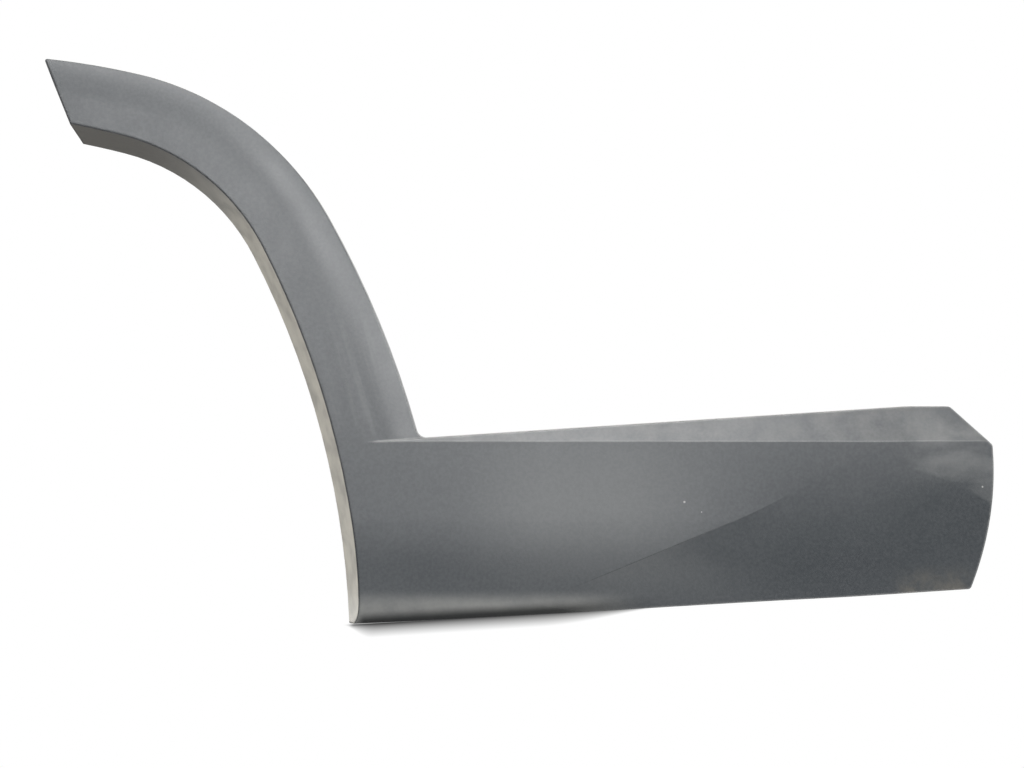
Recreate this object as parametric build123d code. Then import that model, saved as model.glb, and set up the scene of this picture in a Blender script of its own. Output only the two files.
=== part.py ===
"""Lower molding of a car's right rear door, with the front quarter of the wheel arch.

The molding is drawn in a working frame and stood upright at the end. In the working frame x runs
along the door towards the front of the car, y runs up, and z is the height above the door skin.
In the finished part +X is forward, +Z is up and -Y faces away from the car. The origin is on the
main locating pin, where it enters the door skin. Lengths are in millimetres, angles in degrees.
"""
import os
from dataclasses import dataclass
from math import asin, cos, degrees, hypot, radians, sin, sqrt, tan

from build123d import *

# Shell
WALL = 2.8
FACE_HEIGHT = 40.0
EDGE_RADIUS = 0.8
EDGE_ANGLE = 20.0

# Ridge of the wheel arch, from its foot upwards: three tangent arcs
FOOT_X = -38.6
FOOT_Y = -100.0
FOOT_HEADING = 93.65
SIDE_RADIUS = 896.0
SIDE_SWEEP = 23.5
SHOULDER_RADIUS = 216.0
SHOULDER_SWEEP = 48.6
TOP_RADIUS = 900.0
TOP_SWEEP = 3.4

# Band of the arch and its return flange into the wheel opening
FLANGE_SPLAY = 14.7
BAND_AT_FOOT = 86.0
BAND_AT_TIP = 61.0
BAND_FLAT = 28.0
CROWN_RADIUS = 120.0
CROWN_SWEEP = 53.0
TIP_LEAN = 112.0
TIP_RADIUS = 2.0

# Lower panel: a bevel above the crease, a face that bows inwards below its flat part, and a roll
CREASE_Y = 59.0
FACE_FLAT = 80.0
FACE_RADIUS = 520.0
ROLL_DROP = 159.0
ROLL_RADIUS = 30.0
BEVEL_ANGLE = 24.2

# Outline of the panel
CORNER_RADIUS = 10.0
TOP_RISE = 3.72
TOP_BREAK_X = 508.7
TOP_BREAK_RISE = 34.6
TOP_BREAK_RADIUS = 60.0
TOP_FLAT = 40.0
CHAMFER_RADIUS = 6.0
END_X = 588.8
END_BELOW_CREASE = 3.5
END_HEIGHT = 144.5
END_LEAN = 18.3
END_BULGE = 7.8
END_RADIUS = 4.0
BOTTOM_RISE = 3.28

# Facet at the lower front, below a diagonal crease that fades out forwards
FACET_X = 179.6
FACET_DROP = 143.7
FACET_RISE = 22.5
FACET_SLOPE = 0.19
FACET_FADE = 235.0
FACET_CURVE = 0.0008
FACET_SINK = 0.0004
FACET_BEFORE = 70.0
FACET_AFTER = 560.0
FACET_SECTIONS = 11
FACET_ROWS = 8

# Ribs on the back, at even steps along the panel and along the ridge
RIB_THICKNESS = 1.6
RIB_DEPTH = 9.0
RIB_FLOOR = 4.0
RIB_PITCH = 62.0
RIB_START_X = -22.0
RIB_COUNT = 10
ARCH_RIB_START = 230.0
ARCH_RIB_COUNT = 6

# Clip towers: boxes open on one side, with a keyhole slot in the plate at the door skin
TOWER_WALL = 1.8
SEAT_HEIGHT = 2.4
SEAT_PLATE = 2.0
POCKET_CLEARANCE = 0.6
SLOT_CLEARANCE = 0.3
ARCH_BAYS = (0, 2, 3, 5)
ARCH_TOWER_INSET = 34.0
UPPER_BAYS = (1, 4, 7)
UPPER_ROW_DROP = 24.0
LOWER_BAYS = (0, 2, 4, 6, 8)
LOWER_ROW_DROP = 131.0

# Push-in retaining clips
CLIP_BASE_RADIUS = 8.0
CLIP_BASE_THICKNESS = 1.6
CLIP_NECK_RADIUS = 3.2
CLIP_PLAY = 0.1
CLIP_COLLAR_RADIUS = 9.0
CLIP_COLLAR_THICKNESS = 0.9
CLIP_LIP_RADIUS = 10.0
CLIP_STEM_RADIUS = 2.6
CLIP_BARB_RADIUS = 4.4
CLIP_BARBS = 3
CLIP_BARB_PITCH = 4.0
CLIP_TIP_RADIUS = 1.2

# Locating pins
PIN_RADIUS = 4.0
PIN_REACH = 9.0
PIN_CHAMFER = 1.2
PIN_BOSS_RADIUS = 6.5
SECOND_PIN_X = 520.0
SECOND_PIN_Y = 12.0

# Room that the cutting bodies take beyond the part
MARGIN = 60.0
TOP_LEVEL = FACE_HEIGHT + MARGIN
UP = Vector(0, 0, 1)
STAND_UP = Rot(90, 0, 0)


@dataclass(frozen=True)
class Arc:
    """One arc of the arch ridge, with the angles of its radius at both ends."""

    centre: Vector
    radius: float
    start: float
    end: float

    @property
    def length(self):
        """Length along the arc."""
        return radians(self.end - self.start) * self.radius

    def point(self, angle, outwards=0.0):
        """Point at an angle of the radius, moved outwards from the wheel."""
        return self.centre + radial(angle) * (self.radius + outwards)


def radial(angle):
    """Unit vector at an angle in the plane of the drawing."""
    return Vector(cos(radians(angle)), sin(radians(angle)))


def ridge_arcs():
    """The three tangent arcs of the ridge, from the foot to the tip."""
    angle = FOOT_HEADING - 90
    point = Vector(FOOT_X, FOOT_Y)
    arcs = []
    for radius, sweep in (
        (SIDE_RADIUS, SIDE_SWEEP),
        (SHOULDER_RADIUS, SHOULDER_SWEEP),
        (TOP_RADIUS, TOP_SWEEP),
    ):
        arc = Arc(point - radial(angle) * radius, radius, angle, angle + sweep)
        arcs.append(arc)
        point = arc.point(arc.end)
        angle = arc.end
    return arcs


ARCS = ridge_arcs()
RIDGE_LENGTH = sum(arc.length for arc in ARCS)
TIP = ARCS[-1].point(ARCS[-1].end)


def on_ridge(run):
    """Arc and angle at a length along the ridge from its foot."""
    for arc in ARCS:
        if run <= arc.length or arc is ARCS[-1]:
            return arc, arc.start + degrees(run / arc.radius)
        run -= arc.length


def beside_ridge(run, at_foot, at_tip):
    """Point beside the ridge at a length along it, at a distance that changes evenly."""
    arc, angle = on_ridge(run)
    return arc.point(angle, at_foot + (at_tip - at_foot) * run / RIDGE_LENGTH)


def edge_beside_ridge(at_foot, at_tip):
    """Tangent arcs beside the ridge, one for each of its arcs, from the foot past the tip."""
    joint = ARCS[0].length
    edges = [ThreePointArc(*(beside_ridge(run, at_foot, at_tip) for run in (0.0, joint / 2, joint)))]
    for run in (joint + ARCS[1].length, RIDGE_LENGTH + MARGIN):
        edges.append(TangentArc(edges[-1] @ 1, beside_ridge(run, at_foot, at_tip), tangent=edges[-1] % 1))
    return edges


def arc_edge(centre, radius, first, last):
    """Arc about a centre between two angles."""
    middle = (first + last) / 2
    return ThreePointArc(*(Vector(*centre) + radial(angle) * radius for angle in (first, middle, last)))


def upper_edge(x, shift=0.0):
    """Point of the panel's upper edge line, which runs on as the ledge across the arch's foot."""
    rise = (TOP_BREAK_X - x) * tan(radians(TOP_RISE))
    return Vector(x, CREASE_Y + TOP_BREAK_RISE - rise) + radial(TOP_RISE + 90) * shift


def above_upper_edge(shift):
    """Space above the line of the upper edge."""
    left, right = upper_edge(-END_X, shift), upper_edge(2 * END_X, shift)
    reach = Vector(0, 2 * END_X)
    face = make_face(Polyline(left, right, right + reach, left + reach, close=True))
    return extrude(Plane.XY.offset(-TOP_LEVEL) * face, amount=3 * TOP_LEVEL)


def arch_bodies(section):
    """Turn a section, drawn as distance from the ridge and height, about each arc of the ridge."""
    bodies = []
    for arc in ARCS:
        start = arc.start - (degrees(MARGIN / arc.radius) if arc is ARCS[0] else 0.0)
        end = arc.end + (degrees(2 * MARGIN / arc.radius) if arc is ARCS[-1] else 0.0)
        out = radial(start)
        plane = Plane(arc.centre + out * arc.radius, x_dir=out, z_dir=out.cross(UP))
        bodies.append(revolve(plane * section, Axis(arc.centre, UP), revolution_arc=end - start))
    return bodies


def wheel_opening(inset):
    """Bodies of the wheel's space, which leave the splayed return flange."""
    slope = FLANGE_SPLAY / FACE_HEIGHT
    face_edge = inset * hypot(1, slope)
    section = make_face(
        Polyline(
            (-2 * MARGIN, -MARGIN),
            (face_edge - FLANGE_SPLAY - MARGIN * slope, -MARGIN),
            (face_edge + MARGIN * slope, TOP_LEVEL),
            (-2 * MARGIN, TOP_LEVEL),
            close=True,
        )
    )
    return arch_bodies(section)


def crown(inset):
    """Bodies above the crowned outer part of the arch band, which end at the ledge."""
    arc = arc_edge((BAND_FLAT, FACE_HEIGHT - CROWN_RADIUS), CROWN_RADIUS - inset, 90, 90 - CROWN_SWEEP)
    far = BAND_AT_FOOT + 2 * MARGIN
    low = arc @ 1
    rest = Polyline(low, (far, low.Y), (far, TOP_LEVEL), (BAND_FLAT, TOP_LEVEL), arc @ 0)
    beyond_ledge = above_upper_edge(-inset)
    return [body & beyond_ledge for body in arch_bodies(make_face([arc, rest]))]


def panel_body(inset):
    """The panel's section run along the door: a flat face, the bow below it, then the roll."""
    lean = degrees(asin((ROLL_DROP - FACE_FLAT) / FACE_RADIUS))
    bow_centre = Vector(CREASE_Y - FACE_FLAT, FACE_HEIGHT - FACE_RADIUS)
    roll_centre = bow_centre + radial(90 + lean) * (FACE_RADIUS - ROLL_RADIUS)
    bow = arc_edge(bow_centre, FACE_RADIUS - inset, 90, 90 + lean)
    roll = arc_edge(roll_centre, ROLL_RADIUS - inset, 90 + lean, 180)
    top = TIP.Y + BAND_AT_TIP + MARGIN
    flat_end, low = bow @ 0, roll @ 1
    rest = Polyline(low, (low.X, -MARGIN), (top, -MARGIN), (top, flat_end.Y), flat_end)
    start = TIP.X - MARGIN - BAND_AT_TIP
    section = Plane.YZ.offset(start) * make_face([bow, roll, rest])
    return extrude(section, amount=END_X + MARGIN - start)


def bevel(inset):
    """Body above the bevel between the crease and the upper edge."""
    slope = tan(radians(BEVEL_ANGLE))
    level = FACE_HEIGHT - inset / cos(radians(BEVEL_ANGLE))
    low, high = -MARGIN, TOP_BREAK_RISE + MARGIN
    section = make_face(
        Polyline(
            (CREASE_Y + low, level - low * slope),
            (CREASE_Y + high, level - high * slope),
            (CREASE_Y + high, TOP_LEVEL),
            (CREASE_Y + low, TOP_LEVEL),
            close=True,
        )
    )
    start = FOOT_X - MARGIN
    body = extrude(Plane.YZ.offset(start) * section, amount=END_X + MARGIN - start)
    return body - above_upper_edge(0.0)


def facet(inset):
    """Body outside the facet, which is steep at its rear tip and eases into the face below the crease."""
    along = radial(FACET_RISE)
    origin = Vector(FACET_X, CREASE_Y - FACET_DROP)
    reach = END_HEIGHT + 2 * MARGIN
    rows = [-MARGIN + step * (reach + MARGIN) / (FACET_ROWS - 1) for step in range(FACET_ROWS)]
    sections = []
    for step in range(FACET_SECTIONS):
        run = -FACET_BEFORE + step * (FACET_BEFORE + FACET_AFTER) / (FACET_SECTIONS - 1)
        point = origin + along * run
        point = Vector(point.X, min(point.Y, CREASE_Y))
        below = max(CREASE_Y - FACE_FLAT - point.Y, 0.0)
        face = FACE_HEIGHT - FACE_RADIUS + sqrt(FACE_RADIUS**2 - below**2)
        level = face - inset - FACET_SINK * max(run, 0.0)
        slope = FACET_SLOPE * max(1 - (max(run, 0.0) / FACET_FADE) ** 2, 0.0)
        curve = Spline(*((row, level - slope * row - FACET_CURVE * row * abs(row)) for row in rows))
        rest = Polyline(curve @ 1, (reach, TOP_LEVEL), (-MARGIN, TOP_LEVEL), curve @ 0)
        plane = Plane(point, x_dir=(along.Y, -along.X, 0), z_dir=-along)
        sections.append(plane * make_face([curve, rest]))
    return loft(sections)


def round_corner(face, point, radius):
    """Round the corner of a face that lies nearest to a point."""
    return fillet(face.vertices().sort_by_distance(point)[0], radius)


def arch_face():
    """Outline of the arch, left wide on the wheel's side and cut off at the tip."""
    outer = edge_beside_ridge(BAND_AT_FOOT, BAND_AT_TIP)
    inner = edge_beside_ridge(-MARGIN, -MARGIN)
    ends = [Line(outer[end] @ side, inner[end] @ side) for end, side in ((0, 0), (-1, 1))]
    face = make_face([*outer, *inner, *ends])
    reach = radial(TIP_LEAN) * 4 * MARGIN
    beyond = Vector(-4 * MARGIN, 0)
    return face - make_face(
        Polyline(TIP - reach, TIP + reach, TIP + reach + beyond, TIP - reach + beyond, close=True)
    )


def panel_face():
    """Outline of the lower panel, with its chamfered and bowed free end."""
    left = FOOT_X - MARGIN
    top_break = Vector(TOP_BREAK_X, CREASE_Y + TOP_BREAK_RISE)
    chamfer_top = top_break + Vector(TOP_FLAT, 0)
    end_top = Vector(END_X, CREASE_Y - END_BELOW_CREASE)
    end_low = end_top - Vector(END_LEAN, END_HEIGHT)
    low_left = Vector(left, end_low.Y - (end_low.X - left) * tan(radians(BOTTOM_RISE)))
    face = make_face(
        [
            Polyline(low_left, upper_edge(left), top_break, chamfer_top, end_top),
            SagittaArc(end_top, end_low, END_BULGE),
            Line(end_low, low_left),
        ]
    )
    for corner, radius in (
        (top_break, TOP_BREAK_RADIUS),
        (chamfer_top, CHAMFER_RADIUS),
        (end_top, END_RADIUS),
        (end_low, END_RADIUS),
    ):
        face = round_corner(face, corner, radius)
    return face


def inner_corner():
    """Point near the corner between the arch and the panel's upper edge."""
    arc = ARCS[0]
    angle = degrees(asin((CREASE_Y - arc.centre.Y) / (arc.radius + BAND_AT_FOOT)))
    return arc.point(angle, BAND_AT_FOOT)


def outline(inset):
    """Outline of the whole molding, drawn in by an inset."""
    face = arch_face() + panel_face()
    face = round_corner(face, inner_corner(), CORNER_RADIUS)
    face = round_corner(face, TIP + radial(TIP_LEAN) * BAND_AT_TIP, TIP_RADIUS)
    return offset(face, amount=-inset) if inset else face


def envelope(inset):
    """Solid under the skin, drawn in by an inset; open to the door when there is one."""
    floor = -MARGIN if inset else 0.0
    body = extrude(Plane.XY.offset(floor) * outline(inset), amount=TOP_LEVEL - floor)
    body = body & panel_body(inset)
    for cutter in (*wheel_opening(inset), *crown(inset), bevel(inset), facet(inset)):
        body = body - cutter
    return body


def skin_edges(body):
    """Edges of the skin where two faces meet at a clear angle, apart from the ledge's foot."""
    chosen = []
    for edge in body.edges():
        middle = edge @ 0.5
        faces = [face for face in body.faces() if any(edge.is_same(other) for other in face.edges())]
        normals = [face.normal_at(middle) for face in faces]
        sharp = normals[0].get_angle(normals[-1]) > EDGE_ANGLE
        clear_of_back = edge.bounding_box().min.Z > EDGE_RADIUS
        on_ledge = abs(middle.Y - upper_edge(middle.X).Y) < EDGE_RADIUS and middle.X < inner_corner().X
        if sharp and clear_of_back and not on_ledge:
            chosen.append(edge)
    return chosen


def arch_place(step, outwards):
    """Place beside the ridge, a number of rib steps from the first arch rib."""
    arc, angle = on_ridge(ARCH_RIB_START + step * RIB_PITCH)
    return Location(arc.point(angle, outwards), (0, 0, angle))


def tower_places():
    """Places of the clip towers, in the middle of their rib bays."""
    places = [arch_place(bay + 0.5, ARCH_TOWER_INSET) for bay in ARCH_BAYS]
    for bays, drop in ((UPPER_BAYS, UPPER_ROW_DROP), (LOWER_BAYS, LOWER_ROW_DROP)):
        places += [Pos(RIB_START_X + (bay + 0.5) * RIB_PITCH, CREASE_Y - drop, 0) for bay in bays]
    return places


def tower_block():
    """Outside of a tower, from its seat up past the skin."""
    half = CLIP_BASE_RADIUS + POCKET_CLEARANCE
    align = (Align.CENTER, Align.MIN, Align.MIN)
    block = Box(2 * (half + TOWER_WALL), 2 * half + TOWER_WALL, TOP_LEVEL, align=align)
    return Pos(0, -half, SEAT_HEIGHT) * block


def tower_pocket():
    """Room inside a tower for the clip's base, open on one side."""
    half = CLIP_BASE_RADIUS + POCKET_CLEARANCE
    room = Box(2 * half, 2 * half + MARGIN / 4, TOP_LEVEL, align=(Align.CENTER, Align.MAX, Align.MIN))
    return Pos(0, half, SEAT_HEIGHT + SEAT_PLATE) * room


def tower_slot():
    """Keyhole slot in the seat plate that the clip's neck slides into."""
    radius = CLIP_NECK_RADIUS + SLOT_CLEARANCE
    depth = SEAT_HEIGHT + SEAT_PLATE + CLIP_BASE_RADIUS
    way = Box(2 * radius, MARGIN / 4 + CLIP_BASE_RADIUS, depth, align=(Align.CENTER, Align.MAX, Align.MIN))
    return way + Cylinder(radius, depth, align=(Align.CENTER, Align.CENTER, Align.MIN))


def rib_plates():
    """Upright plates across the panel and the arch, later cut to a low rib under the skin."""
    up = (Align.CENTER, Align.CENTER, Align.MIN)
    across = Pos(0, 0, RIB_FLOOR) * Box(RIB_THICKNESS, 2 * END_HEIGHT, TOP_LEVEL, align=up)
    outwards = Pos(0, 0, RIB_FLOOR) * Box(BAND_AT_FOOT + MARGIN, RIB_THICKNESS, TOP_LEVEL, align=up)
    middle = CREASE_Y - END_HEIGHT / 2
    plates = [Pos(RIB_START_X + step * RIB_PITCH, middle, 0) * across for step in range(RIB_COUNT)]
    return plates + [arch_place(step, BAND_AT_FOOT / 2) * outwards for step in range(ARCH_RIB_COUNT)]


def locating_pin():
    """Round pin on a boss that seats on the door skin."""
    boss = Cylinder(PIN_BOSS_RADIUS, TOP_LEVEL, align=(Align.CENTER, Align.CENTER, Align.MIN))
    align = (Align.CENTER, Align.CENTER, Align.MIN)
    pin = Pos(0, 0, -PIN_REACH) * Cylinder(PIN_RADIUS, PIN_REACH + WALL, align=align)
    return boss + chamfer(pin.edges().sort_by(Axis.Z)[0], PIN_CHAMFER)


def build_molding():
    """The moulded shell with its ribs, towers and locating pins."""
    outer = envelope(0.0)
    outer = fillet(skin_edges(outer), EDGE_RADIUS)
    inner = envelope(WALL)
    inside_skin = envelope(WALL / 2)
    clear_of_ribs = envelope(WALL + RIB_DEPTH)
    back = [(plate & inside_skin) - clear_of_ribs for plate in rib_plates()]
    for place in tower_places():
        tower = place * tower_block() & inside_skin
        back.append(tower - (place * tower_pocket() & inner) - place * tower_slot())
    for x, y in ((0, 0), (SECOND_PIN_X, SECOND_PIN_Y)):
        back.append(Pos(x, y, 0) * locating_pin() & inside_skin)
    return (outer - inner + back).solid()


def clip_profile():
    """Half section of a clip: base, neck, sealing collar and barbed stem."""
    seat = SEAT_HEIGHT + SEAT_PLATE
    collar = SEAT_HEIGHT - CLIP_PLAY
    under = collar - CLIP_COLLAR_THICKNESS
    points = [
        (0, seat + CLIP_BASE_THICKNESS),
        (CLIP_BASE_RADIUS, seat + CLIP_BASE_THICKNESS),
        (CLIP_BASE_RADIUS, seat),
        (CLIP_NECK_RADIUS, seat),
        (CLIP_NECK_RADIUS, collar),
        (CLIP_COLLAR_RADIUS, collar),
        (CLIP_LIP_RADIUS, 0.0),
        (CLIP_COLLAR_RADIUS, 0.0),
        (CLIP_COLLAR_RADIUS - CLIP_COLLAR_THICKNESS, under),
        (CLIP_STEM_RADIUS, under),
    ]
    for barb in range(1, CLIP_BARBS + 1):
        root = -CLIP_BARB_PITCH * (barb - 0.5)
        points += [(CLIP_STEM_RADIUS, root), (CLIP_BARB_RADIUS, root - CLIP_BARB_PITCH / 6)]
        points += [(CLIP_STEM_RADIUS, root - CLIP_BARB_PITCH * 2 / 3)]
    end = -CLIP_BARB_PITCH * (CLIP_BARBS + 1)
    points += [(CLIP_TIP_RADIUS, end), (0, end)]
    return make_face(Polyline(*points, close=True))


def build_clips():
    """One clip in each tower."""
    clip = revolve(Plane.XZ * clip_profile(), Axis.Z)
    return [place * clip for place in tower_places()]


def main():
    """Write each piece of the molding."""
    os.makedirs("parts", exist_ok=True)
    export_step(STAND_UP * build_molding(), "parts/door_molding.step")
    export_step(STAND_UP * Compound(children=build_clips()), "parts/retaining_clips.step")


if __name__ == "__main__":
    main()
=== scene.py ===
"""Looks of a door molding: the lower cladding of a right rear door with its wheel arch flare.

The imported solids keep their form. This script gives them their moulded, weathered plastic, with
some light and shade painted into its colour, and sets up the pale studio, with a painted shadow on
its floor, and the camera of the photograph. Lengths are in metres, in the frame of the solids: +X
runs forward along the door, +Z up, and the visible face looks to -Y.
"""
import logging
import math
from dataclasses import dataclass, field
from enum import Enum
from typing import Any

import bpy
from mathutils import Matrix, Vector


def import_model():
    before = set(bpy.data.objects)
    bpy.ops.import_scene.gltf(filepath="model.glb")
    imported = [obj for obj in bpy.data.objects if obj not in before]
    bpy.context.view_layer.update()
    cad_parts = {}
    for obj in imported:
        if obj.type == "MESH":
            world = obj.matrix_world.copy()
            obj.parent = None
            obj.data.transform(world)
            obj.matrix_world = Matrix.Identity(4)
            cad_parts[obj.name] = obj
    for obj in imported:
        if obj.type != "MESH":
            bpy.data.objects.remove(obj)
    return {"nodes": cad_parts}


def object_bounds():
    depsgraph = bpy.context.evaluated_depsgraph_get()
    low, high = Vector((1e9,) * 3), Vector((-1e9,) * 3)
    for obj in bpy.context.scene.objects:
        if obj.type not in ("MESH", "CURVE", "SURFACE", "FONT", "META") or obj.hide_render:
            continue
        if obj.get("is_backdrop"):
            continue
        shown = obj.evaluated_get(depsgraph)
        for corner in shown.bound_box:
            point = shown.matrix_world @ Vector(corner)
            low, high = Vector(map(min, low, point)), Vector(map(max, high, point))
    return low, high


LOG = logging.getLogger("door_molding")

Color = tuple[float, float, float]
Point = tuple[float, float, float]
# Two ends: of a stretch, of a fade from none to full, or of a range of values.
Span = tuple[float, float]
# A straight line: its height at zero and its rise for each metre.
Line = tuple[float, float]
Socket = bpy.types.NodeSocket

WHITE: Color = (1.0, 1.0, 1.0)
EDGE_SAMPLES = 8
CONTACT_SAMPLES = 16


class Lamp(Enum):
    """The lamps of the studio, by what they are for."""

    KEY = "key_over_the_front"
    WHEEL_SIDE = "fill_on_the_wheel_side"
    FRONT_HIGH = "soft_front_before_the_arch"
    FRONT_TOP = "soft_front_over_the_arch"
    FRONT_LOW = "soft_front_before_the_panel"
    FORWARD_FRONT = "soft_front_towards_the_free_end"
    FORWARD_SIDE = "soft_forward_side"


class Along(Enum):
    """Axes of the solids' frame."""

    X = "X"
    Y = "Y"
    Z = "Z"


Axes = dict[Along, Socket]


class ShaderGraph:
    """Adds and links the nodes of one shader tree."""

    def __init__(self, tree: bpy.types.NodeTree) -> None:
        """Start from an empty tree.

        Args:
            tree: Node tree of a material or of the world.
        """
        self.tree = tree
        self.tree.nodes.clear()

    def node(
        self, kind: str, inputs: dict[Any, Any] | None = None, **settings: Any
    ) -> bpy.types.Node:
        """Add one node.

        Args:
            kind: Blender's name of the node type.
            inputs: Values or output sockets, by the name or number of the input.
            settings: Properties of the node.

        Returns:
            The new node.
        """
        made = self.tree.nodes.new(kind)
        for key, value in settings.items():
            setattr(made, key, value)
        for key, value in (inputs or {}).items():
            if isinstance(value, Socket):
                self.tree.links.new(value, made.inputs[key])
            else:
                made.inputs[key].default_value = value
        return made

    def math(self, operation: str, first: Any, second: Any = 0.0) -> Socket:
        """Combine two numbers.

        Args:
            operation: Blender's name of the operation.
            first: First number or socket.
            second: Second number or socket.

        Returns:
            Socket with the result.
        """
        return self.node("ShaderNodeMath", {0: first, 1: second}, operation=operation).outputs[0]

    def product(self, first: Any, *others: Any) -> Socket:
        """Multiply numbers or sockets.

        Args:
            first: First factor.
            others: Further factors.

        Returns:
            Socket with the product.
        """
        result = first
        for other in others:
            result = self.math("MULTIPLY", result, other)
        return result

    def opposite(self, value: Socket) -> Socket:
        """Change the sign of a number.

        Args:
            value: Socket with the number.

        Returns:
            Socket with the number's opposite.
        """
        return self.math("MULTIPLY", value, -1.0)

    def rest(self, share: Socket) -> Socket:
        """What a share leaves of one.

        Args:
            share: Socket with the share.

        Returns:
            Socket with the rest.
        """
        return self.math("SUBTRACT", 1.0, share)

    def straight(self, value: Socket, line: Line) -> Socket:
        """Height of a straight line.

        Args:
            value: Socket with the place along the line.
            line: Height at zero, and rise for each metre.

        Returns:
            Socket with the height.
        """
        return self.math("ADD", self.product(value, line[1]), line[0])

    def ramp(self, value: Any, low: float, high: float) -> Socket:
        """Smooth step from 0 at low to 1 at high; low may be the larger.

        Args:
            value: Number or socket.
            low: Value that gives 0.
            high: Value that gives 1.

        Returns:
            Socket with the step.
        """
        ends = {"From Min": low, "From Max": high}
        if low > high:
            ends = {"From Min": high, "From Max": low, "To Min": 1.0, "To Max": 0.0}
        settings = {"Value": value, **ends}
        made = self.node("ShaderNodeMapRange", settings, interpolation_type="SMOOTHSTEP")
        return made.outputs[0]

    def window(self, value: Socket, span: Span, soft: Span) -> Socket:
        """Soft-edged window along one axis.

        Args:
            value: Socket with the coordinate.
            span: Ends of the window.
            soft: Half the width of the fade at each end.

        Returns:
            Socket that is 1 inside the window.
        """
        start = self.ramp(value, span[0] - soft[0], span[0] + soft[0])
        end = self.ramp(value, span[1] + soft[1], span[1] - soft[1])
        return self.product(start, end)

    def spread(self, value: Socket, ends: Span, since: tuple[Any, Any] = (0.0, 1.0)) -> Socket:
        """Map a number evenly, held at the ends.

        Args:
            value: Socket with the number.
            ends: Results at both ends.
            since: Numbers or sockets that give these results.

        Returns:
            Socket with the result.
        """
        settings = {"Value": value, "From Min": since[0], "From Max": since[1]}
        settings |= {"To Min": ends[0], "To Max": ends[1]}
        return self.node("ShaderNodeMapRange", settings).outputs[0]

    def mix(self, share: Any, first: Any, second: Any) -> Socket:
        """Mix two colours.

        Args:
            share: Share of the second colour.
            first: Colour or socket.
            second: Colour or socket.

        Returns:
            Socket with the mixed colour.
        """
        pair = [item if isinstance(item, Socket) else (*item, 1.0) for item in (first, second)]
        made = self.node("ShaderNodeMix", {0: share, 6: pair[0], 7: pair[1]}, data_type="RGBA")
        return made.outputs[2]

    def noise(self, vector: Socket, scale: float, detail: float, stir: float = 0.0) -> Socket:
        """Cloudy noise.

        Args:
            vector: Coordinates.
            scale: Cells per metre.
            detail: Number of finer layers.
            stir: How far the noise is stirred.

        Returns:
            Socket with values about 0.5.
        """
        settings = {"Vector": vector, "Scale": scale, "Detail": detail, "Distortion": stir}
        return self.node("ShaderNodeTexNoise", settings).outputs[0]

    def place(self) -> Socket:
        """Coordinates of the shaded point."""
        return self.node("ShaderNodeTexCoord").outputs["Object"]

    def split(self, vector: Socket) -> Axes:
        """Part a vector into its axes.

        Args:
            vector: Socket with the vector.

        Returns:
            Socket of each axis.
        """
        parts = self.node("ShaderNodeSeparateXYZ", {0: vector}).outputs
        return dict(zip(Along, parts))

    def edge_turn(self, radius: float, normal: Socket) -> Socket:
        """How far a rounding of the edges would turn the surface.

        Args:
            radius: Radius of the rounding.
            normal: Surface normal.

        Returns:
            Socket with the change of the normal, which is zero away from the edges.
        """
        rounded = self.node("ShaderNodeBevel", {"Radius": radius}, samples=EDGE_SAMPLES).outputs[0]
        pair = {0: rounded, 1: normal}
        return self.node("ShaderNodeVectorMath", pair, operation="SUBTRACT").outputs["Vector"]


@dataclass(frozen=True)
class SurfacePoint:
    """Sockets that tell where the shaded point lies and which way it faces."""

    where: Socket
    at: Axes
    normal: Socket
    facing: Axes

    @classmethod
    def of(cls, graph: ShaderGraph) -> "SurfacePoint":
        """Add the nodes that read the point.

        Args:
            graph: Tree that takes the nodes.

        Returns:
            The point.
        """
        where = graph.place()
        normal = graph.node("ShaderNodeNewGeometry").outputs["Normal"]
        return cls(where, graph.split(where), normal, graph.split(normal))


@dataclass(frozen=True)
class Clouds:
    """Soft clouds of noise."""

    per_m: float
    detail: float
    limits: Span
    stir: float = 0.0

    def mask(self, graph: ShaderGraph, vector: Socket) -> Socket:
        """Mask that is 1 inside the clouds.

        Args:
            graph: Tree that takes the nodes.
            vector: Coordinates.

        Returns:
            Socket with the mask.
        """
        noise = graph.noise(vector, self.per_m, self.detail, self.stir)
        return graph.ramp(noise, *self.limits)


@dataclass(frozen=True)
class Patch:
    """A soft-edged place on the face, as spans along X and Z."""

    x: Span
    z: Span
    soft: float

    def mask(self, graph: ShaderGraph, point: SurfacePoint) -> Socket:
        """Mask that is 1 inside the patch.

        Args:
            graph: Tree that takes the nodes.
            point: The shaded point.

        Returns:
            Socket with the mask.
        """
        soft = (self.soft, self.soft)
        across = graph.window(point.at[Along.X], self.x, soft)
        return graph.product(across, graph.window(point.at[Along.Z], self.z, soft))


@dataclass(frozen=True)
class WipedFilm:
    """A pale film of dust at the free end, its lower edge bent downwards by a wiping hand."""

    start: Span = (0.494, 0.0337)
    fall: float = 0.12
    bend: float = 2.9
    top: float = 0.045
    top_soft: float = 0.008
    edge_fade: Span = (-0.002, 0.003)
    start_fade: Span = (0.0, 0.04)

    def mask(self, graph: ShaderGraph, point: SurfacePoint) -> Socket:
        """Mask that is 1 inside the film.

        Args:
            graph: Tree that takes the nodes.
            point: The shaded point.

        Returns:
            Socket with the mask.
        """
        height = point.at[Along.Z]
        run = graph.math("SUBTRACT", point.at[Along.X], self.start[0])
        drop = graph.math("ADD", graph.product(run, self.fall), graph.product(run, run, self.bend))
        above = graph.math("SUBTRACT", graph.math("ADD", height, drop), self.start[1])
        below_top = graph.ramp(height, self.top + self.top_soft, self.top - self.top_soft)
        started = graph.ramp(run, *self.start_fade)
        return graph.product(started, graph.ramp(above, *self.edge_fade), below_top)


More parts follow.
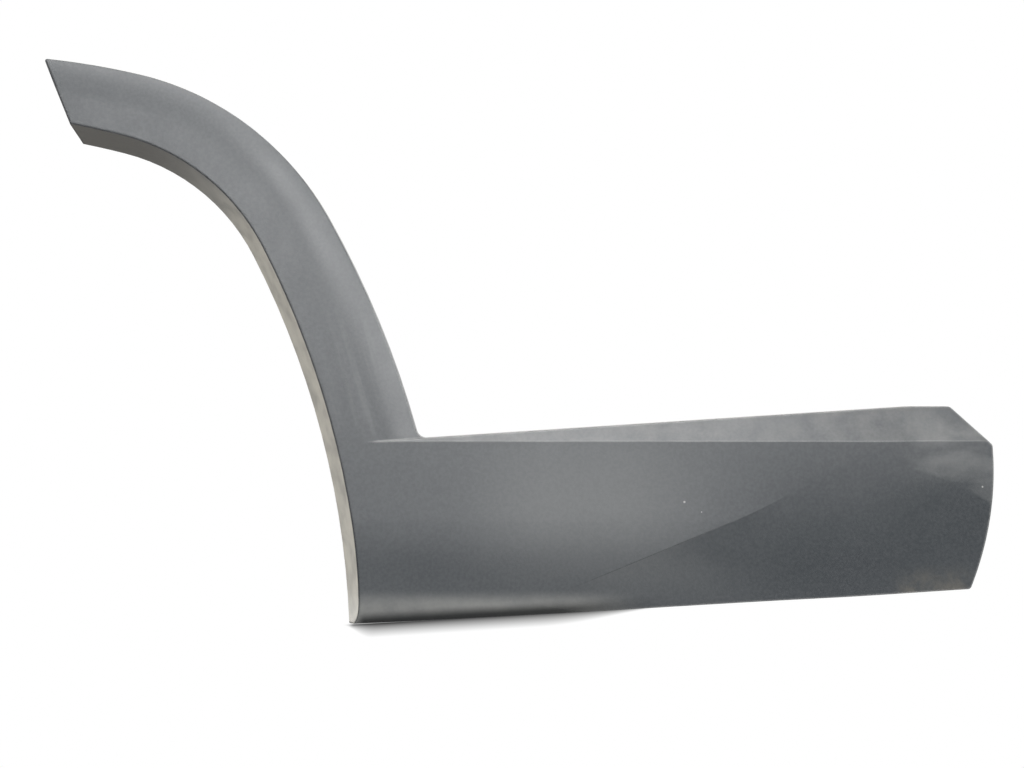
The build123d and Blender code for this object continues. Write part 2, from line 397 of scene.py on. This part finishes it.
@dataclass(frozen=True)
class WeatheredPlastic:
    """Dark grey, fine-grained polypropylene that has turned chalky with age."""

    base: Color = (0.0195, 0.0225, 0.0255)
    chalk: Color = (0.031, 0.0342, 0.037)
    # Colour of the painted highlight on the middle of the panel.
    painted_highlight: Color = (0.4, 0.4, 0.385)
    clouds: Clouds = Clouds(9.0, 5.0, (0.36, 0.68), 0.6)
    clouds_share: float = 0.15
    mottle: Clouds = Clouds(340.0, 3.0, (0.25, 0.75))
    mottle_share: float = 0.75
    highlit_middle: Patch = Patch((0.09, 0.28), (-0.06, 0.045), 0.06)
    painted_highlight_share: float = 0.06
    roughness: Span = (0.31, 0.36)
    rough_per_m: float = 38.0
    rough_detail: float = 4.0
    rough_limits: Span = (0.3, 0.7)
    gloss: Span = (0.5, 0.3)
    dull_end: Patch = Patch((0.36, 0.7), (-0.3, 0.03), 0.06)
    ior: float = 1.49
    grain_per_m: float = 850.0
    grain_smoothness: float = 0.6
    grain_share: float = 0.7
    pores_per_m: float = 420.0
    pores_detail: float = 2.0
    grain_height: float = 0.00012
    grain_strength: float = 0.35

    def color(self, graph: ShaderGraph, point: SurfacePoint) -> Socket:
        """Plastic with chalky clouds, fine mottling and a painted highlight on the middle of the
        panel.

        Args:
            graph: Tree that takes the nodes.
            point: The shaded point.

        Returns:
            Socket with the colour.
        """
        clouds = graph.product(self.clouds.mask(graph, point.where), self.clouds_share)
        mottle = graph.product(self.mottle.mask(graph, point.where), self.mottle_share)
        color = graph.mix(graph.math("ADD", clouds, mottle), self.base, self.chalk)
        # Painted highlight: a pale patch on the middle of the panel.
        painted_highlight = graph.product(self.highlit_middle.mask(graph, point), self.painted_highlight_share)
        return graph.mix(painted_highlight, color, self.painted_highlight)

    def rough(self, graph: ShaderGraph, point: SurfacePoint) -> Socket:
        """Uneven roughness.

        Args:
            graph: Tree that takes the nodes.
            point: The shaded point.

        Returns:
            Socket with the roughness.
        """
        noise = graph.noise(point.where, self.rough_per_m, self.rough_detail)
        return graph.spread(noise, self.roughness, self.rough_limits)

    def shine(self, graph: ShaderGraph, point: SurfacePoint) -> Socket:
        """Strength of the gloss, which is less on the lower free end.

        Args:
            graph: Tree that takes the nodes.
            point: The shaded point.

        Returns:
            Socket with the strength.
        """
        return graph.spread(self.dull_end.mask(graph, point), self.gloss)

    def grain(self, graph: ShaderGraph, point: SurfacePoint) -> Socket:
        """Moulded leather grain with fine pores.

        Args:
            graph: Tree that takes the nodes.
            point: The shaded point.

        Returns:
            Socket with the surface normal.
        """
        settings = {
            "Vector": point.where,
            "Scale": self.grain_per_m,
            "Smoothness": self.grain_smoothness,
        }
        voronoi = graph.node("ShaderNodeTexVoronoi", settings, feature="SMOOTH_F1")
        cells = graph.product(voronoi.outputs["Distance"], self.grain_share)
        noise = graph.noise(point.where, self.pores_per_m, self.pores_detail)
        pores = graph.product(noise, 1.0 - self.grain_share)
        bump = {
            "Height": graph.math("ADD", cells, pores),
            "Strength": self.grain_strength,
            "Distance": self.grain_height,
        }
        return graph.node("ShaderNodeBump", bump).outputs[0]


@dataclass(frozen=True)
class RoadDust:
    """Road dust and spatter as the photograph shows them, with painted shade and painted floor light.
    """

    dust: Color = (0.3, 0.285, 0.25)
    # Pale of the roll's band: road spatter, and painted light from the floor.
    splash_and_floor_light: Color = (0.25, 0.248, 0.232)
    # Brown-tinted colour of the painted shade under the top of the arch.
    dirt_and_shade: Color = (0.085, 0.077, 0.062)
    # Pale of the painted floor reflection on the facet.
    pale: Color = (0.4, 0.4, 0.385)
    clouds: Clouds = Clouds(55.0, 5.0, (0.25, 0.75))
    ledge_facing: Span = (0.2, 0.95)
    ledge_share: float = 0.35
    flange: Patch = Patch((-0.4, 0.1), (-0.2, 0.35), 0.1)
    flange_facing: Span = (0.25, 0.95)
    flange_clouds: Span = (-1.6, 1.2)
    flange_share: float = 0.9
    # Where the painted shade under the top of the arch lies.
    tip_facing: Span = (0.6, 0.95)
    tip_height: Span = (0.2, 0.3)
    tip_share: float = 0.5
    # Where the pale band of spatter and painted floor light lies on the roll.
    roll: Patch = Patch((-0.2, 0.21), (-0.2, -0.06), 0.04)
    roll_top: Span = (-0.087, -0.107)
    roll_clouds: Span = (-2.5, 1.5)
    roll_run: Span = (-0.04, 0.18)
    roll_share: Span = (0.3, 0.4)
    # Place and facing of the painted floor reflection on the facet.
    facet: Patch = Patch((0.18, 0.32), (-0.085, -0.01), 0.03)
    facet_facing: Span = (0.15, 0.185)
    facet_share: float = 0.022

    def over(self, graph: ShaderGraph, point: SurfacePoint, color: Socket) -> Socket:
        """Lay dust on flange, ledge and roll, painted shade under the arch's top, and painted floor
        light on facet and roll.

        Args:
            graph: Tree that takes the nodes.
            point: The shaded point.
            color: Colour under the dust.

        Returns:
            Socket with the colour.
        """
        clouds = self.clouds.mask(graph, point.where)
        downward = graph.opposite(point.facing[Along.Z])
        # Paler where the facet faces slightly down: a painted reflection of the lit floor.
        sloping = graph.ramp(downward, *self.facet_facing)
        facet = graph.product(sloping, self.facet.mask(graph, point), self.facet_share)
        color = graph.mix(facet, color, self.pale)
        # Painted shade on the downward-facing underside of the top of the arch.
        color = graph.mix(self.shaded_tip(graph, point, downward), color, self.dirt_and_shade)
        upward = graph.ramp(point.facing[Along.Z], *self.ledge_facing)
        color = graph.mix(graph.product(upward, clouds, self.ledge_share), color, self.dust)
        color = graph.mix(self.on_flange(graph, point, clouds), color, self.dust)
        # Pale band on the roll: partly road spatter, partly painted light from the floor.
        return graph.mix(self.on_roll(graph, point, clouds), color, self.splash_and_floor_light)

    def shaded_tip(self, graph: ShaderGraph, point: SurfacePoint, downward: Socket) -> Socket:
        """Share of painted shade, tinted brown, on the downward-facing underside of the top of the
        arch.

        Args:
            graph: Tree that takes the nodes.
            point: The shaded point.
            downward: How far the surface faces down.

        Returns:
            Socket with the share.
        """
        underside = graph.ramp(downward, *self.tip_facing)
        high = graph.ramp(point.at[Along.Z], *self.tip_height)
        return graph.product(underside, high, self.tip_share)

    def on_flange(self, graph: ShaderGraph, point: SurfacePoint, clouds: Socket) -> Socket:
        """Share of dust on the wheel side of the flange.

        Args:
            graph: Tree that takes the nodes.
            point: The shaded point.
            clouds: Clouds of the dust.

        Returns:
            Socket with the share.
        """
        wheelward = graph.ramp(graph.opposite(point.facing[Along.X]), *self.flange_facing)
        thick = graph.ramp(clouds, *self.flange_clouds)
        return graph.product(wheelward, self.flange.mask(graph, point), thick, self.flange_share)

    def on_roll(self, graph: ShaderGraph, point: SurfacePoint, clouds: Socket) -> Socket:
        """Share of the pale band on the roll, partly road spatter and partly painted floor light,
        which grows forwards.

        Args:
            graph: Tree that takes the nodes.
            point: The shaded point.
            clouds: Clouds of the dust.

        Returns:
            Socket with the share.
        """
        low = graph.ramp(point.at[Along.Z], *self.roll_top)
        thick = graph.ramp(clouds, *self.roll_clouds)
        share = graph.spread(graph.ramp(point.at[Along.X], *self.roll_run), self.roll_share)
        return graph.product(low, self.roll.mask(graph, point), thick, share)


@dataclass(frozen=True)
class UseMarks:
    """Scuffs, streaks, grime and specks of use."""

    scuff: Color = (0.4, 0.4, 0.385)
    # Colour of the grime in the lower corner of the free end.
    dirt_and_shade: Color = (0.085, 0.077, 0.062)
    speck: Color = (0.72, 0.71, 0.68)
    scuffs_per_m: Point = (18.0, 18.0, 40.0)
    scuff_clouds: Clouds = Clouds(1.0, 4.0, (0.25, 0.8), 0.3)
    scuffed_end: Patch = Patch((0.51, 0.6), (0.03, 0.1), 0.025)
    scuffed_share: float = 0.1
    wiped_film: WipedFilm = WipedFilm()
    wiped_share: float = 0.07
    streak_lean: float = -0.28
    streak_size: Point = (0.009, 0.009, 0.16)
    streak_clouds: Clouds = Clouds(1.0, 2.0, (0.45, 0.75))
    arch_streaks: Patch = Patch((-0.06, -0.015), (0.06, 0.18), 0.03)
    streak_share: float = 0.06
    stain_clouds: Clouds = Clouds(45.0, 5.0, (0.25, 0.75), 0.7)
    dirty_corner: Patch = Patch((0.5, 0.565), (-0.1, -0.075), 0.014)
    dirt_share: float = 0.6
    specks: tuple[Point, ...] = (
        (0.283, -0.001, 0.0014),
        (0.579, 0.014, 0.0012),
        (0.3, -0.011, 0.0008),
    )
    speck_share: float = 0.2

    def over(self, graph: ShaderGraph, point: SurfacePoint, color: Socket) -> Socket:
        """Add the marks to a colour.

        Args:
            graph: Tree that takes the nodes.
            point: The shaded point.
            color: Colour under the marks.

        Returns:
            Socket with the colour.
        """
        scaled = {"Vector": point.where, "Scale": self.scuffs_per_m}
        along = graph.node("ShaderNodeMapping", scaled).outputs[0]
        leaning = {
            "Vector": point.where,
            "Rotation": (0.0, self.streak_lean, 0.0),
            "Scale": self.streak_size,
        }
        upright = graph.node("ShaderNodeMapping", leaning, vector_type="TEXTURE").outputs[0]
        scuffs = self.scuff_clouds.mask(graph, along)
        streaks = self.streak_clouds.mask(graph, upright)
        stains = self.stain_clouds.mask(graph, point.where)
        for clouds, place, share, mark in (
            (scuffs, self.scuffed_end, self.scuffed_share, self.scuff),
            (scuffs, self.wiped_film, self.wiped_share, self.scuff),
            (streaks, self.arch_streaks, self.streak_share, self.scuff),
            (stains, self.dirty_corner, self.dirt_share, self.dirt_and_shade),
        ):
            amount = graph.product(clouds, place.mask(graph, point), share)
            color = graph.mix(amount, color, mark)
        return self.specked(graph, point, color)

    def specked(self, graph: ShaderGraph, point: SurfacePoint, color: Socket) -> Socket:
        """Add the pale specks.

        Args:
            graph: Tree that takes the nodes.
            point: The shaded point.
            color: Colour under the specks.

        Returns:
            Socket with the colour.
        """
        for x, z, radius in self.specks:
            side = graph.math("SUBTRACT", point.at[Along.X], x)
            rise = graph.math("SUBTRACT", point.at[Along.Z], z)
            square = graph.math("ADD", graph.product(side, side), graph.product(rise, rise))
            inside = graph.ramp(graph.math("SQRT", square), radius, radius / 2)
            color = graph.mix(graph.product(inside, self.speck_share), color, self.speck)
        return color


@dataclass(frozen=True)
class EdgeLines:
    """Pale worn edges with a painted highlight, and dull lines of painted shade at ridge, crease and
    lower edge.
    """

    pale: Color = (0.4, 0.4, 0.385)
    painted_shade: Color = (0.009, 0.0095, 0.01)
    ledge_x: float = -0.03
    ledge_soft: float = 0.01
    # Pale edges of the panel: wear from handling, and a painted highlight along the roundings and the
    # crease.
    wear_and_highlight_clouds: Clouds = Clouds(30.0, 2.0, (0.0, 0.65))
    wear_and_highlight_width: float = 0.0025
    wear_and_highlight_turn: Span = (0.04, 0.26)
    wear_and_highlight_share: float = 0.25
    # Painted shade on the face beside the ridge, where the edge turns away.
    ridge_width: float = 0.004
    ridge_turn: Span = (0.05, 0.25)
    ridge_share: float = 0.8
    # Painted shade on the face above the facet's crease.
    crease: Patch = Patch((0.18, 0.32), (-0.085, -0.01), 0.03)
    crease_width: float = 0.0026
    crease_turn: Span = (0.006, 0.04)
    crease_share: float = 0.45
    # Painted shade along the lower edge, where the roll turns under.
    lower_edge: Line = (-0.1196, 0.0625)
    lower_height: Span = (0.012, 0.0)
    lower_x: Span = (-0.041, 0.215)
    lower_soft: Span = (0.006, 0.065)
    lower_share: float = 0.9

    def over(
        self, graph: ShaderGraph, point: SurfacePoint, lines: Socket, color: Socket
    ) -> Socket:
        """Add the edges to a colour.

        Args:
            graph: Tree that takes the nodes.
            point: The shaded point.
            lines: Mask of the lines of painted shade.
            color: Colour away from the edges.

        Returns:
            Socket with the colour.
        """
        # Pale edges of the panel: partly wear, partly a painted highlight.
        color = graph.mix(self.worn_and_highlit_edges(graph, point), color, self.pale)
        return graph.mix(lines, color, self.painted_shade)

    def lines(self, graph: ShaderGraph, point: SurfacePoint) -> Socket:
        """Mask of all lines of painted shade.

        Args:
            graph: Tree that takes the nodes.
            point: The shaded point.

        Returns:
            Socket with the mask.
        """
        outer = graph.math("MAXIMUM", self.ridge_line(graph, point), self.lower_line(graph, point))
        return graph.math("MAXIMUM", outer, self.crease_line(graph, point))

    def worn_and_highlit_edges(self, graph: ShaderGraph, point: SurfacePoint) -> Socket:
        """Mask of the panel's pale edges, partly worn by handling and partly a painted highlight on
        their roundings.

        Args:
            graph: Tree that takes the nodes.
            point: The shaded point.

        Returns:
            Socket with the mask.
        """
        turn = graph.edge_turn(self.wear_and_highlight_width, point.normal)
        size = graph.node("ShaderNodeVectorMath", {0: turn}, operation="LENGTH").outputs["Value"]
        wear_and_highlight_clouds = self.wear_and_highlight_clouds.mask(graph, point.where)
        ends = self.ledge_x - self.ledge_soft, self.ledge_x + self.ledge_soft
        panel = graph.ramp(point.at[Along.X], *ends)
        edges = graph.ramp(size, *self.wear_and_highlight_turn)
        return graph.product(edges, wear_and_highlight_clouds, panel, self.wear_and_highlight_share)

    def ridge_line(self, graph: ShaderGraph, point: SurfacePoint) -> Socket:
        """Mask of the painted shade on the face beside the ridge of the arch.

        Args:
            graph: Tree that takes the nodes.
            point: The shaded point.

        Returns:
            Socket with the mask.
        """
        turned = graph.split(graph.edge_turn(self.ridge_width, point.normal))
        inward = graph.opposite(graph.math("ADD", turned[Along.X], turned[Along.Z]))
        ends = self.ledge_x + self.ledge_soft, self.ledge_x - self.ledge_soft
        arch = graph.ramp(point.at[Along.X], *ends)
        return graph.product(graph.ramp(inward, *self.ridge_turn), arch, self.ridge_share)

    def crease_line(self, graph: ShaderGraph, point: SurfacePoint) -> Socket:
        """Mask of the painted shade on the face above the crease of the facet.

        Args:
            graph: Tree that takes the nodes.
            point: The shaded point.

        Returns:
            Socket with the mask.
        """
        turned = graph.split(graph.edge_turn(self.crease_width, point.normal))
        downward = graph.ramp(graph.opposite(turned[Along.Z]), *self.crease_turn)
        return graph.product(downward, self.crease.mask(graph, point), self.crease_share)

    def lower_line(self, graph: ShaderGraph, point: SurfacePoint) -> Socket:
        """Mask of the painted shade where the roll turns under, along the lower edge.

        Args:
            graph: Tree that takes the nodes.
            point: The shaded point.

        Returns:
            Socket with the mask.
        """
        edge = graph.straight(point.at[Along.X], self.lower_edge)
        above = graph.math("SUBTRACT", point.at[Along.Z], edge)
        ends = graph.window(point.at[Along.X], self.lower_x, self.lower_soft)
        return graph.product(graph.ramp(above, *self.lower_height), ends, self.lower_share)


@dataclass(frozen=True)
class MoldingFinish:
    """The molding's plastic under its dust, marks, worn edges and painted light and shade."""

    plastic: WeatheredPlastic = WeatheredPlastic()
    dust: RoadDust = RoadDust()
    marks: UseMarks = UseMarks()
    edges: EdgeLines = EdgeLines()

    def material(self) -> bpy.types.Material:
        """Build the plastic of the molding.

        Returns:
            The material.
        """
        made = bpy.data.materials.new("grained_molding_plastic")
        made.use_nodes = True
        graph = ShaderGraph(made.node_tree)
        point = SurfacePoint.of(graph)
        color = self.plastic.color(graph, point)
        color = self.dust.over(graph, point, color)
        color = self.marks.over(graph, point, color)
        # Lines of painted shade at the ridge, the crease and the lower edge, which also lose their
        # gloss.
        lines = self.edges.lines(graph, point)
        shine = graph.product(self.plastic.shine(graph, point), graph.rest(lines))
        shader = graph.node(
            "ShaderNodeBsdfPrincipled",
            {
                "Base Color": self.edges.over(graph, point, lines, color),
                "Roughness": self.plastic.rough(graph, point),
                "IOR": self.plastic.ior,
                "Specular IOR Level": shine,
                "Normal": self.plastic.grain(graph, point),
            },
        )
        graph.node("ShaderNodeOutputMaterial", {"Surface": shader.outputs[0]})
        return made


@dataclass(frozen=True)
class ClipFinish:
    """Natural, slightly yellowed plastic of the push-in clips."""

    base: Color = (0.56, 0.53, 0.45)
    aged: Color = (0.47, 0.42, 0.32)
    clouds: Clouds = Clouds(210.0, 4.0, (0.3, 0.75))
    roughness: Span = (0.38, 0.55)
    rough_per_m: float = 500.0
    rough_detail: float = 3.0
    ripples_per_m: float = 900.0
    ripple_detail: float = 2.0
    ripple_strength: float = 0.2
    ripple_height: float = 0.00005
    ior: float = 1.5
    milky_share: float = 0.12
    milky_depth: Point = (0.0012, 0.001, 0.0007)

    def material(self) -> bpy.types.Material:
        """Build the plastic of the clips.

        Returns:
            The material.
        """
        made = bpy.data.materials.new("natural_clip_plastic")
        made.use_nodes = True
        graph = ShaderGraph(made.node_tree)
        where = graph.place()
        noise = graph.noise(where, self.rough_per_m, self.rough_detail)
        ripples = {
            "Height": graph.noise(where, self.ripples_per_m, self.ripple_detail),
            "Strength": self.ripple_strength,
            "Distance": self.ripple_height,
        }
        shader = graph.node(
            "ShaderNodeBsdfPrincipled",
            {
                "Base Color": graph.mix(self.clouds.mask(graph, where), self.base, self.aged),
                "Roughness": graph.spread(noise, self.roughness),
                "IOR": self.ior,
                "Normal": graph.node("ShaderNodeBump", ripples).outputs[0],
                "Subsurface Weight": self.milky_share,
                "Subsurface Radius": self.milky_depth,
            },
        )
        graph.node("ShaderNodeOutputMaterial", {"Surface": shader.outputs[0]})
        return made


@dataclass
class MoldingShell:
    """The moulded shell, shown as its solid."""

    node: str = "door_molding"
    finish: MoldingFinish = field(default_factory=MoldingFinish)

    def dress(self, nodes: dict[str, bpy.types.Object]) -> None:
        """Give the shell its plastic.

        Args:
            nodes: Objects of the solids, by name.
        """
        put_on(nodes[self.node], self.finish.material())


@dataclass
class RetainingClips:
    """The push-in clips in the towers on the back, shown as their solids."""

    node: str = "retaining_clips"
    finish: ClipFinish = field(default_factory=ClipFinish)

    def dress(self, nodes: dict[str, bpy.types.Object]) -> None:
        """Give the clips their plastic.

        Args:
            nodes: Objects of the solids, by name.
        """
        put_on(nodes[self.node], self.finish.material())


@dataclass(frozen=True)
class LampSetting:
    """Place, aim, size and power of one lamp."""

    role: Lamp
    place: Point
    aim: Point
    size: Span
    watts: float
    color: Color = WHITE

    def build(self) -> None:
        """Add the lamp to the scene."""
        data = bpy.data.lights.new(self.role.value, "AREA")
        data.shape = "RECTANGLE"
        data.size, data.size_y = self.size
        data.energy = self.watts
        data.color = self.color
        lamp = bpy.data.objects.new(self.role.value, data)
        lamp.location = self.place
        lamp.visible_camera = False
        sight = Vector(self.aim) - Vector(self.place)
        lamp.rotation_euler = sight.to_track_quat("-Z", "Y").to_euler()
        bpy.context.scene.collection.objects.link(lamp)


SOFT_LAMPS = (
    LampSetting(Lamp.KEY, (0.0, -1.6, 1.9), (0.1, 0.0, 0.1), (1.6, 0.8), 42.0),
    LampSetting(
        Lamp.WHEEL_SIDE, (-1.5, -0.5, 0.0), (-0.05, 0.0, 0.0), (0.8, 0.8), 24.0, (1.0, 0.98, 0.94)
    ),
    LampSetting(Lamp.FRONT_HIGH, (-0.6, -3.1, 0.55), (-0.1, 0.0, 0.2), (0.9, 0.7), 23.0),
    LampSetting(Lamp.FRONT_TOP, (-0.8, -3.0, 1.75), (-0.3, 0.0, 0.4), (1.0, 1.0), 15.0),
    LampSetting(Lamp.FRONT_LOW, (0.25, -3.1, 0.06), (0.2, 0.0, 0.0), (0.5, 0.34), 9.0),
    LampSetting(Lamp.FORWARD_FRONT, (0.68, -2.9, 1.2), (0.0, 0.0, 0.2), (1.0, 1.1), 40.0),
    LampSetting(Lamp.FORWARD_SIDE, (1.9, -2.3, 0.75), (0.0, 0.0, 0.2), (1.6, 1.4), 62.0),
)


@dataclass
class Studio:
    """Pale floor with a painted shadow under the molding, white surroundings and soft lamps."""

    floor_half: float = 6.0
    shadow_edge: Line = (0.012, 0.651)
    shadow_reach: float = 0.145
    shadow_least: float = 0.001
    shadow_end: Span = (-0.02, 0.008)
    shadow_x: Span = (-0.04, 0.22)
    shadow_soft: Span = (0.02, 0.08)
    shadow_sides: Span = (0.0, 0.3)
    bounce: Span = (0.8, 0.25)
    bounce_reach: Span = (0.06, 0.24)
    # Tones painted on the floor as the shadow under the molding and as its contact shade.
    painted_shadow_tone: float = 0.025
    painted_contact_tone: float = 0.005
    contact_reach: float = 0.05
    dim: float = 0.12
    ambient: float = 0.42
    ambient_rise: Span = (-0.1, 0.6)
    wall: float = 1.0
    wall_side: Span = (-0.3, 0.4)
    lamps: tuple[LampSetting, ...] = SOFT_LAMPS

    def build(self, floor_level: float) -> None:
        """Build the floor, the surroundings and the lamps.

        Args:
            floor_level: Height of the floor.
        """
        self.build_floor(floor_level)
        self.build_surroundings()
        for lamp in self.lamps:
            lamp.build()

    def build_floor(self, level: float) -> None:
        """Add the floor.

        Args:
            level: Height of the floor.
        """
        half = self.floor_half
        ways = ((-half, -half), (half, -half), (half, half), (-half, half))
        mesh = bpy.data.meshes.new("studio_floor")
        mesh.from_pydata([(*way, level) for way in ways], [], [tuple(range(len(ways)))])
        floor = bpy.data.objects.new("studio_floor", mesh)
        bpy.context.scene.collection.objects.link(floor)
        floor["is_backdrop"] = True
        floor.data.materials.append(self.floor_material())

    def floor_material(self) -> bpy.types.Material:
        """Build a floor with a painted shadow under the molding over its real shadow, and white
        further off.

        Returns:
            The material.
        """
        made = bpy.data.materials.new("white_floor")
        made.use_nodes = True
        graph = ShaderGraph(made.node_tree)
        at = graph.split(graph.place())
        seen = graph.node("ShaderNodeLightPath").outputs["Is Camera Ray"]
        # The painted shadow keeps the floor matte and dim where the white glow is held back.
        glow = graph.product(seen, graph.rest(self.shadow(graph, at)))
        away = graph.ramp(graph.math("ABSOLUTE", at[Along.Y]), *self.bounce_reach)
        unseen = graph.mix(away, (self.bounce[0],) * 3, (self.bounce[1],) * 3)
        # Painted contact shade: ambient occlusion darkens the floor's colour where the molding is
        # near.
        near = {"Distance": self.contact_reach}
        contact = graph.node("ShaderNodeAmbientOcclusion", near, samples=CONTACT_SAMPLES)
        open_share = contact.outputs["AO"]
        shaded = graph.mix(open_share, (self.painted_contact_tone,) * 3, (self.painted_shadow_tone,) * 3)
        tone = graph.mix(seen, unseen, shaded)
        matte = graph.node("ShaderNodeBsdfDiffuse", {"Color": tone}).outputs[0]
        white = graph.node("ShaderNodeEmission", {"Strength": 1.0}).outputs[0]
        shader = graph.node("ShaderNodeMixShader", {0: glow, 1: matte, 2: white}).outputs[0]
        graph.node("ShaderNodeOutputMaterial", {"Surface": shader})
        return made

    def shadow(self, graph: ShaderGraph, at: Axes) -> Socket:
        """Mask of the painted shadow: the strip of floor below the lower edge, which fades out to the
        front.

        Args:
            graph: Tree that takes the nodes.
            at: Coordinates of the shaded point along each axis.

        Returns:
            Socket with the mask.
        """
        sides = graph.window(at[Along.X], self.shadow_x, self.shadow_soft)
        edge = graph.straight(at[Along.X], self.shadow_edge)
        front = graph.math("SUBTRACT", edge, at[Along.Y])
        reach = graph.math("MAXIMUM", graph.product(sides, self.shadow_reach), self.shadow_least)
        fade = graph.spread(front, (1.0, 0.0), (0.0, reach))
        inside = graph.ramp(sides, *self.shadow_sides)
        return graph.product(fade, inside, graph.ramp(front, *self.shadow_end))

    def build_surroundings(self) -> None:
        """Make the world white to the camera, and to the molding a soft light with a pale wall."""
        world = bpy.data.worlds.new("white_studio")
        bpy.context.scene.world = world
        world.use_nodes = True
        graph = ShaderGraph(world.node_tree)
        path = graph.node("ShaderNodeLightPath").outputs
        seen = graph.math("MAXIMUM", path["Is Camera Ray"], path["Is Transmission Ray"])
        aim = graph.split(graph.node("ShaderNodeTexCoord").outputs["Generated"])
        rise = graph.ramp(aim[Along.Z], *self.ambient_rise)
        sky = graph.product(rise, self.ambient - self.dim)
        wall = graph.product(graph.ramp(aim[Along.Y], *self.wall_side), self.wall)
        strength = graph.math("ADD", graph.math("ADD", sky, wall), self.dim)
        plain = {"Color": (*WHITE, 1.0)}
        light = graph.node("ShaderNodeBackground", {**plain, "Strength": strength}).outputs[0]
        white = graph.node("ShaderNodeBackground", {**plain, "Strength": 1.0}).outputs[0]
        shader = graph.node("ShaderNodeMixShader", {0: seen, 1: light, 2: white}).outputs[0]
        graph.node("ShaderNodeOutputWorld", {"Surface": shader})


@dataclass(frozen=True)
class PhotoCamera:
    """Camera of the photograph: straight on to the door, level with the picture's middle."""

    place: Point = (0.112, -2.5, 0.116)
    sensor_mm: float = 36.0
    lens_mm: float = 87.2

    def build(self) -> None:
        """Add the camera and make it the scene's own."""
        data = bpy.data.cameras.new("photo_camera")
        data.sensor_width = self.sensor_mm
        data.lens = self.lens_mm
        camera = bpy.data.objects.new("photo_camera", data)
        camera.location = self.place
        camera.rotation_euler = (math.pi / 2, 0.0, 0.0)
        bpy.context.scene.collection.objects.link(camera)
        bpy.context.scene.camera = camera


def put_on(piece: bpy.types.Object, material: bpy.types.Material) -> None:
    """Assign a material to every slot of a piece.

    Args:
        piece: Object of a solid.
        material: Material to show.
    """
    if not piece.material_slots:
        piece.data.materials.append(material)
    for slot in piece.material_slots:
        slot.material = material


def main() -> None:
    """Dress the molding and set up the studio around it."""
    logging.basicConfig(level=logging.INFO, format="%(message)s")
    bpy.context.scene.view_settings.view_transform = "Standard"
    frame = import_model()
    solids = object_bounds()
    for piece in (MoldingShell(), RetainingClips()):
        piece.dress(frame["nodes"])
        LOG.info("dressed %s", piece.node)
    Studio().build(solids[0].z)
    LOG.info("studio built")
    PhotoCamera().build()
    LOG.info("camera placed")


if __name__ == "__main__":
    main()
